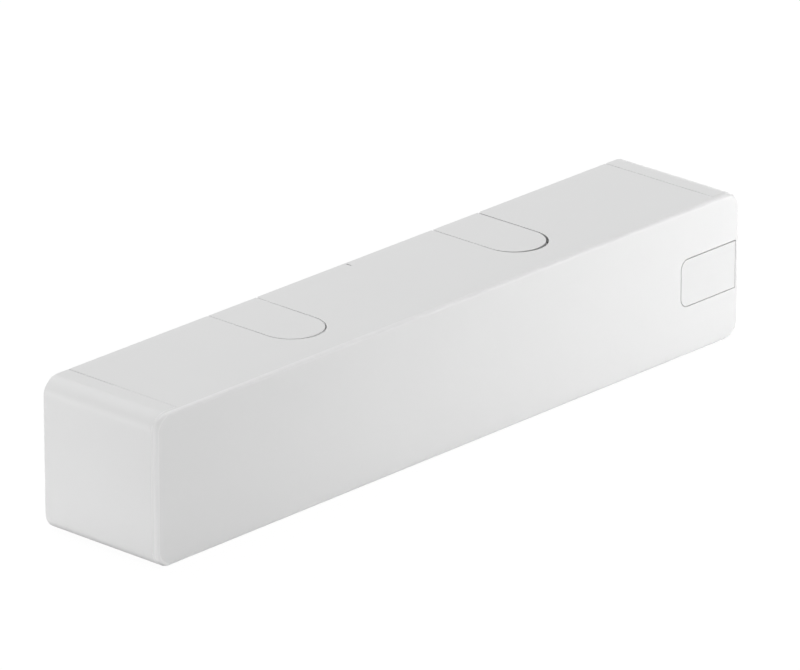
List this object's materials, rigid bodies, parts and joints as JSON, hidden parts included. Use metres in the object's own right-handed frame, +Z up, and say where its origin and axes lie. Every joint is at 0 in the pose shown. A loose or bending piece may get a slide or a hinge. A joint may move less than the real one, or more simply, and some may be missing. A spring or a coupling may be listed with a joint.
{
  "type": "overhead door closer",
  "caption": "Surface-mounted overhead door closer with a long rounded box cover, U-shaped spindle slots closed by flush tongues, and a cam-and-roller drive inside.",
  "frame": {"origin": "middle of the mounting plate's back face, which lies against the door", "axes": "+X along the closer towards its closing spring, +Y into the door, +Z up"},
  "size_m": [0.337, 0.06, 0.0628],
  "materials": {
    "cover_white": "satin, very fine orange peel",
    "badge_satin": "satin, bare",
    "zinc_plate": "zinc plated steel sheet",
    "cast_body": "fine cast skin",
    "plain_steel": "turned and ground steel",
    "spring_steel": "oil-tempered spring wire",
    "black_screw": "black oxide",
    "brass": "machined",
    "seal_rubber": "moulded rubber"
  },
  "bodies": {
    "root": {"mounting_plate": "zinc_plate", "body_housing": "cast_body", "body_screws": "black_screw", "cover_clips": "spring_steel", "clip_rivets": "plain_steel", "top_bearing_cap": "plain_steel", "bottom_bearing_cap": "plain_steel", "top_bearing": "plain_steel", "bottom_bearing": "plain_steel", "shaft_seals": "seal_rubber", "spring_end_plug": "plain_steel", "damper_end_plug": "plain_steel", "end_plug_seals": "seal_rubber", "valve_seals": "seal_rubber", "closing_spring": "spring_steel", "damper_spring": "spring_steel"},
    "cover": {"front_cover": "cover_white", "end_cap_left": "cover_white", "end_cap_right": "cover_white", "badge_plate": "badge_satin"},
    "blank_top_left": {"slot_blank_top_left": "cover_white"},
    "blank_top_right": {"slot_blank_top_right": "cover_white"},
    "blank_bottom_left": {"slot_blank_bottom_left": "cover_white"},
    "blank_bottom_right": {"slot_blank_bottom_right": "cover_white"},
    "spindle": {"cam_spindle": "plain_steel"},
    "opening_piston": {"opening_piston": "plain_steel", "opening_piston_seal": "seal_rubber", "opening_roller_pin": "plain_steel"},
    "opening_roller": {"opening_roller": "plain_steel"},
    "damper_piston": {"damper_piston": "plain_steel", "damper_piston_seal": "seal_rubber", "damper_roller_pin": "plain_steel", "check_ball_retainer": "plain_steel"},
    "damper_roller": {"damper_roller": "plain_steel"},
    "check_ball": {"check_ball": "plain_steel"},
    "adjusting_screw": {"adjusting_screw": "plain_steel"},
    "spring_plate": {"spring_plate": "plain_steel"},
    "closing_speed_valve": {"closing_speed_valve": "brass"},
    "latching_speed_valve": {"latching_speed_valve": "brass"},
    "backcheck_valve": {"backcheck_valve": "brass"}
  },
  "joints": [
    {"name": "cover_off", "type": "slide", "parent": "root", "child": "cover", "axis": [0, -1, 0], "range_m": [0, 0.07]},
    {"name": "blank_top_left_out", "type": "slide", "parent": "cover", "child": "blank_top_left", "axis": [0, 1, 0], "range_m": [0, 0.05]},
    {"name": "blank_top_right_out", "type": "slide", "parent": "cover", "child": "blank_top_right", "axis": [0, 1, 0], "range_m": [0, 0.05]},
    {"name": "blank_bottom_left_out", "type": "slide", "parent": "cover", "child": "blank_bottom_left", "axis": [0, 1, 0], "range_m": [0, 0.05]},
    {"name": "blank_bottom_right_out", "type": "slide", "parent": "cover", "child": "blank_bottom_right", "axis": [0, 1, 0], "range_m": [0, 0.05]},
    {"name": "spindle_turn", "type": "hinge", "parent": "root", "child": "spindle", "pos_m": [-0.0643, -0.0322, 0], "axis": [0, 0, 1], "range_deg": [0, 120], "stiffness_Nm_per_rad": 3, "springref_deg": -171.89},
    {"name": "opening_piston_slide", "type": "slide", "parent": "root", "child": "opening_piston", "axis": [1, 0, 0], "range_m": [0, 0.0074], "deforming": ["closing_spring"]},
    {"name": "opening_roller_spin", "type": "hinge", "parent": "opening_piston", "child": "opening_roller", "pos_m": [-0.0468, -0.0322, 0], "axis": [0, 0, 1], "range_deg": [-180, 0]},
    {"name": "damper_piston_slide", "type": "slide", "parent": "root", "child": "damper_piston", "axis": [1, 0, 0], "range_m": [0, 0.0074], "deforming": ["damper_spring"]},
    {"name": "damper_roller_spin", "type": "hinge", "parent": "damper_piston", "child": "damper_roller", "pos_m": [-0.0928, -0.0322, 0], "axis": [0, 0, 1], "range_deg": [-220, 0]},
    {"name": "check_ball_lift", "type": "slide", "parent": "damper_piston", "child": "check_ball", "axis": [-1, 0, 0], "range_m": [0, 0.0008]},
    {"name": "adjusting_screw_turn", "type": "hinge", "parent": "root", "child": "adjusting_screw", "pos_m": [0.156, -0.0322, 0], "axis": [1, 0, 0], "range_deg": [0, 3600]},
    {"name": "spring_plate_slide", "type": "slide", "parent": "root", "child": "spring_plate", "axis": [1, 0, 0], "range_m": [-0.0151, 0]},
    {"name": "closing_speed_valve_turn", "type": "hinge", "parent": "root", "child": "closing_speed_valve", "pos_m": [-0.1033, -0.0562, 0.0164], "axis": [0, 1, 0], "range_deg": [0, 720]},
    {"name": "latching_speed_valve_turn", "type": "hinge", "parent": "root", "child": "latching_speed_valve", "pos_m": [-0.1173, -0.0562, 0.0164], "axis": [0, 1, 0], "range_deg": [0, 720]},
    {"name": "backcheck_valve_turn", "type": "hinge", "parent": "root", "child": "backcheck_valve", "pos_m": [-0.1103, -0.0562, -0.0164], "axis": [0, 1, 0], "range_deg": [0, 720]}
  ],
  "couplings": [
    {"joint": "opening_piston_slide", "follows": "spindle_turn", "m_per_rad": 0.0035014},
    {"joint": "damper_piston_slide", "follows": "spindle_turn", "m_per_rad": 0.0035014},
    {"joint": "opening_roller_spin", "follows": "spindle_turn", "ratio": -1.3453},
    {"joint": "damper_roller_spin", "follows": "spindle_turn", "ratio": -1.7555},
    {"joint": "spring_plate_slide", "follows": "adjusting_screw_turn", "m_per_rad": -0.00023873}
  ]
}
